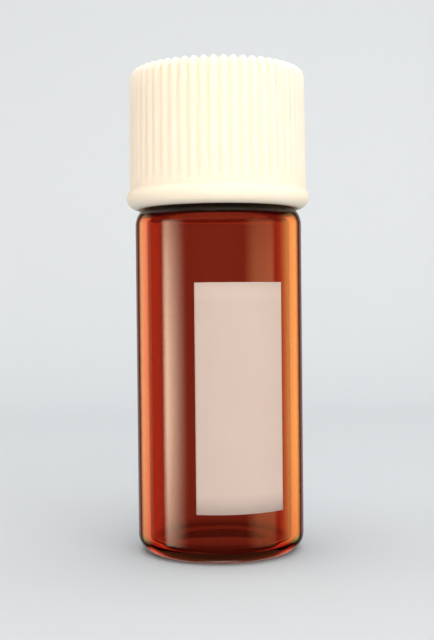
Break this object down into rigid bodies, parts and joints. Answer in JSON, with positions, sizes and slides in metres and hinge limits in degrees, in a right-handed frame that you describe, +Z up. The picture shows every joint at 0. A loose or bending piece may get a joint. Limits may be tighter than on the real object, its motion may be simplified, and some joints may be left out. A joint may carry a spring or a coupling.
{
  "type": "glass sample vial",
  "caption": "Small amber glass sample vial with a matt writing patch, a sealing liner and a ribbed white screw cap.",
  "frame": {"origin": "centre of the face that the vial stands on", "axes": "+Z up along the vial's axis, -Y out of the middle of the writing patch, +X to the right seen from the patch"},
  "size_m": [0.013, 0.013, 0.0339],
  "materials": {
    "amber_glass": "clear amber, fire polished",
    "enamel_patch": "matt fired enamel",
    "cap_plastic": "ivory white, satin",
    "liner_plastic": "white, smooth"
  },
  "bodies": {
    "vial": {"vial": "amber_glass", "writing_patch": "enamel_patch"},
    "liner": {"cap_liner": "liner_plastic"},
    "cap": {"screw_cap": "cap_plastic"}
  },
  "joints": [
    {"name": "cap_lift", "type": "slide", "parent": "vial", "child": "liner", "axis": [0, 0, 1], "range_m": [0, 0.0127]},
    {"name": "cap_turn", "type": "hinge", "parent": "liner", "child": "cap", "pos_m": [0, 0, 0.029], "axis": [0, 0, 1], "range_deg": [0, 2160]}
  ],
  "couplings": [
    {"joint": "cap_turn", "follows": "cap_lift", "rad_per_m": 2968.4}
  ]
}
